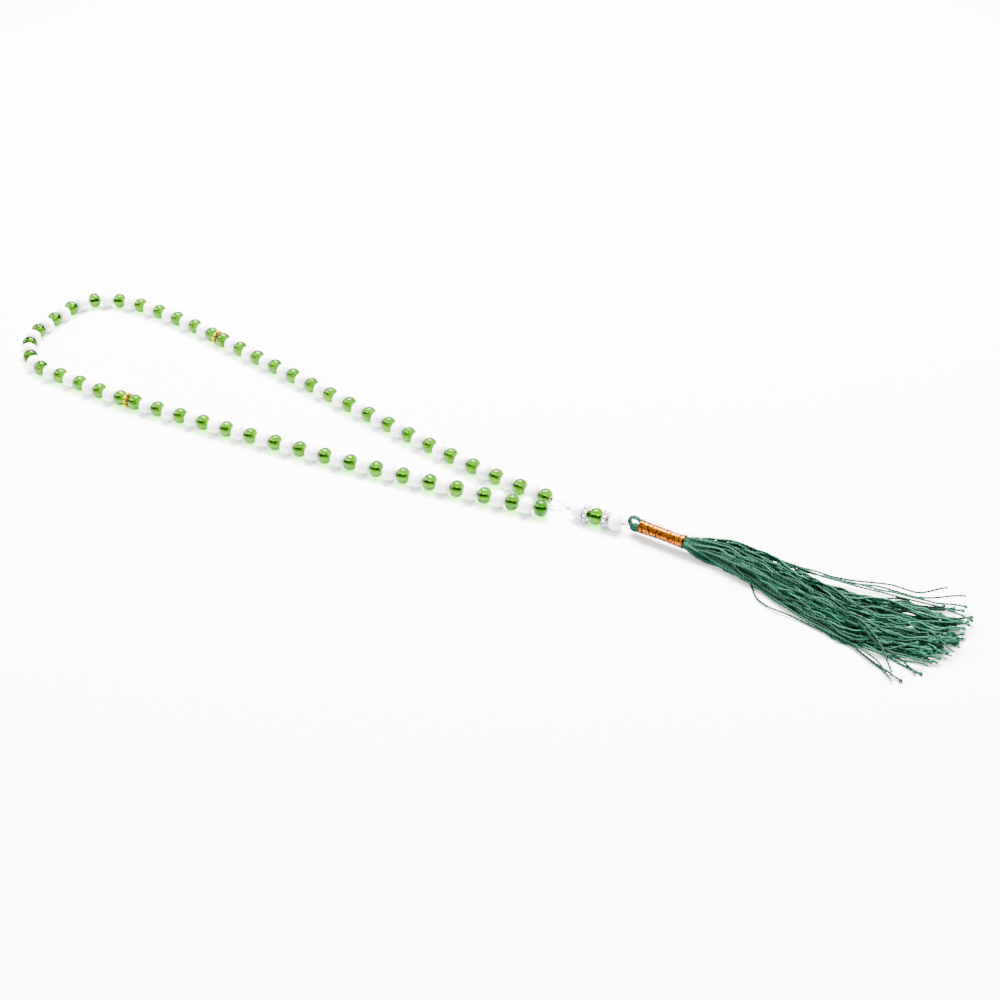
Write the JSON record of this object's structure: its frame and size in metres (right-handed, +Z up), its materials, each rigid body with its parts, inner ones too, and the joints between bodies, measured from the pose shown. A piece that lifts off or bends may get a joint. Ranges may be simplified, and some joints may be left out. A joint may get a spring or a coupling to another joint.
{
  "type": "prayer beads",
  "caption": "String of round glass prayer beads in a long closed loop, with spacers, a beaded tail, and a foil-wound string tassel.",
  "frame": {"origin": "under the middle of the whole object's box as it lies flat, on the surface it lies on", "axes": "+X along the object from the loop's far end to the tassel's tips, +Y across it to the back strand, +Z up from the surface"},
  "size_m": [0.498, 0.1082, 0.0101],
  "materials": {
    "green_glass": "clear polished green glass",
    "milk_glass": "opaque white polished glass",
    "nylon": "clear nylon line",
    "gilt": "bright gilt",
    "silver_plate": "bright silver plate",
    "crystal": "faceted clear stone",
    "copper_foil": "copper-gold metallic foil thread",
    "tassel_string": "twisted teal-green synthetic string"
  },
  "bodies": {
    "first_set_a": {"first_set_a_green_beads": "green_glass", "first_set_a_white_beads": "milk_glass", "first_set_a_thread": "nylon", "strand_knot": "nylon"},
    "first_set_b": {"first_set_b_green_beads": "green_glass", "first_set_b_white_beads": "milk_glass", "first_set_b_thread": "nylon"},
    "first_set_c": {"first_set_c_green_beads": "green_glass", "first_set_c_white_beads": "milk_glass", "first_set_c_thread": "nylon"},
    "second_set_a": {"second_set_a_green_beads": "green_glass", "second_set_a_white_beads": "milk_glass", "second_set_a_thread": "nylon"},
    "second_set_b": {"second_set_b_green_beads": "green_glass", "second_set_b_white_beads": "milk_glass", "second_set_b_thread": "nylon"},
    "second_set_c": {"second_set_c_green_beads": "green_glass", "second_set_c_white_beads": "milk_glass", "second_set_c_thread": "nylon"},
    "third_set_a": {"third_set_a_green_beads": "green_glass", "third_set_a_white_beads": "milk_glass", "third_set_a_thread": "nylon"},
    "third_set_b": {"third_set_b_green_beads": "green_glass", "third_set_b_white_beads": "milk_glass", "third_set_b_thread": "nylon"},
    "third_set_c": {"third_set_c_green_beads": "green_glass", "third_set_c_white_beads": "milk_glass", "third_set_c_thread": "nylon"},
    "tail": {"tail_thread": "nylon"},
    "front_end_bead": {"front_end_bead": "green_glass"},
    "back_end_bead": {"back_end_bead": "green_glass"},
    "front_gilt_spacer": {"front_gilt_spacer": "gilt"},
    "back_gilt_spacer": {"back_gilt_spacer": "gilt"},
    "tail_small_bead": {"tail_small_white_bead": "milk_glass"},
    "rondelle_1": {"tail_rondelle_1_ring": "silver_plate", "tail_rondelle_1_stones": "crystal"},
    "tail_green_bead": {"tail_green_bead": "green_glass"},
    "rondelle_2": {"tail_rondelle_2_ring": "silver_plate", "tail_rondelle_2_stones": "crystal"},
    "tail_large_bead": {"tail_large_white_bead": "milk_glass"},
    "thread_link": {"thread_link": "nylon"},
    "tassel_neck": {"tassel_eye": "tassel_string", "tassel_neck_core": "tassel_string", "tassel_neck_foil": "copper_foil"},
    "tassel_skirt": {"tassel_skirt": "tassel_string"}
  },
  "joints": [
    {"name": "loop_spread", "type": "hinge", "parent": "second_set_b", "child": "second_set_c", "pos_m": [-0.23057, 0.0481, 0.004], "axis": [0, 0, 1], "range_deg": [-2, 10]},
    {"name": "front_far_bend", "type": "hinge", "parent": "second_set_b", "child": "second_set_a", "pos_m": [-0.23261, -0.01698, 0.004], "axis": [0, 0, 1], "range_deg": [-11.58, 2.36]},
    {"name": "front_spacer_bend", "type": "hinge", "parent": "second_set_a", "child": "first_set_c", "pos_m": [-0.16037, -0.02887, 0.004], "axis": [0, 0, 1], "range_deg": [-1.7, 8.31]},
    {"name": "front_middle_bend", "type": "hinge", "parent": "first_set_c", "child": "first_set_b", "pos_m": [-0.08437, -0.02718, 0.004], "axis": [0, 0, 1], "range_deg": [-2.02, 9.9]},
    {"name": "front_near_bend", "type": "hinge", "parent": "first_set_b", "child": "first_set_a", "pos_m": [-0.01059, -0.02267, 0.004], "axis": [0, 0, 1], "range_deg": [-4.48, 0.94]},
    {"name": "back_spacer_bend", "type": "hinge", "parent": "second_set_c", "child": "third_set_a", "pos_m": [-0.15725, 0.04126, 0.004], "axis": [0, 0, 1], "range_deg": [-12.84, 2.61]},
    {"name": "back_middle_bend", "type": "hinge", "parent": "third_set_a", "child": "third_set_b", "pos_m": [-0.08347, 0.023, 0.004], "axis": [0, 0, 1], "range_deg": [-2.6, 0.56]},
    {"name": "back_near_bend", "type": "hinge", "parent": "third_set_b", "child": "third_set_c", "pos_m": [-0.01174, 0.00525, 0.004], "axis": [0, 0, 1], "range_deg": [-1.63, 0.37]},
    {"name": "tail_swing", "type": "hinge", "parent": "first_set_a", "child": "tail", "pos_m": [0.07042, -0.01064, 0.004], "axis": [0, 0, 1], "range_deg": [-35, 35]},
    {"name": "tassel_lift", "type": "hinge", "parent": "tail", "child": "thread_link", "pos_m": [0.09707, -0.00994, 0.004], "axis": [0.5, -0.866, 0], "range_deg": [0, 50]},
    {"name": "tassel_swing", "type": "hinge", "parent": "thread_link", "child": "tassel_neck", "pos_m": [0.09915, -0.00874, 0.00512], "axis": [0, 0, 1], "range_deg": [-45, 45]},
    {"name": "skirt_bend", "type": "hinge", "parent": "tassel_neck", "child": "tassel_skirt", "pos_m": [0.12605, -0.0111, 0.0051], "axis": [0, 0, 1], "range_deg": [-20, 20]},
    {"name": "front_gilt_spacer_spin", "type": "hinge", "parent": "first_set_c", "child": "front_gilt_spacer", "pos_m": [-0.15923, -0.02886, 0.004], "axis": [-1, -0.0052, 0], "continuous": true},
    {"name": "back_gilt_spacer_spin", "type": "hinge", "parent": "third_set_a", "child": "back_gilt_spacer", "pos_m": [-0.15613, 0.04098, 0.004], "axis": [0.9707, -0.2402, 0], "continuous": true},
    {"name": "small_bead_spin", "type": "hinge", "parent": "tail", "child": "tail_small_bead", "pos_m": [0.0751, -0.01052, 0.004], "axis": [0.9997, 0.0262, 0], "continuous": true},
    {"name": "rondelle_1_spin", "type": "hinge", "parent": "tail", "child": "rondelle_1", "pos_m": [0.07928, -0.01041, 0.004], "axis": [0.9997, 0.0262, 0], "continuous": true},
    {"name": "tail_green_spin", "type": "hinge", "parent": "tail", "child": "tail_green_bead", "pos_m": [0.08388, -0.01029, 0.004], "axis": [0.9997, 0.0262, 0], "continuous": true},
    {"name": "rondelle_2_spin", "type": "hinge", "parent": "tail", "child": "rondelle_2", "pos_m": [0.08847, -0.01017, 0.004], "axis": [0.9997, 0.0262, 0], "continuous": true},
    {"name": "large_bead_spin", "type": "hinge", "parent": "tail", "child": "tail_large_bead", "pos_m": [0.09307, -0.01005, 0.004], "axis": [0.9997, 0.0262, 0], "continuous": true},
    {"name": "front_end_slide", "type": "slide", "parent": "first_set_a", "child": "front_end_bead", "axis": [0.9681, 0.2504, 0], "range_m": [0, 0.0035]},
    {"name": "back_end_slide", "type": "slide", "parent": "third_set_c", "child": "back_end_bead", "axis": [0.998, -0.0628, 0], "range_m": [0, 0.0035]}
  ],
  "couplings": [
    {"joint": "front_far_bend", "follows": "loop_spread", "ratio": -1.153},
    {"joint": "front_spacer_bend", "follows": "loop_spread", "ratio": 0.8258},
    {"joint": "front_middle_bend", "follows": "loop_spread", "ratio": 0.9848},
    {"joint": "front_near_bend", "follows": "loop_spread", "ratio": -0.4429},
    {"joint": "back_spacer_bend", "follows": "loop_spread", "ratio": -1.279},
    {"joint": "back_middle_bend", "follows": "loop_spread", "ratio": -0.2547},
    {"joint": "back_near_bend", "follows": "loop_spread", "ratio": -0.1577}
  ]
}
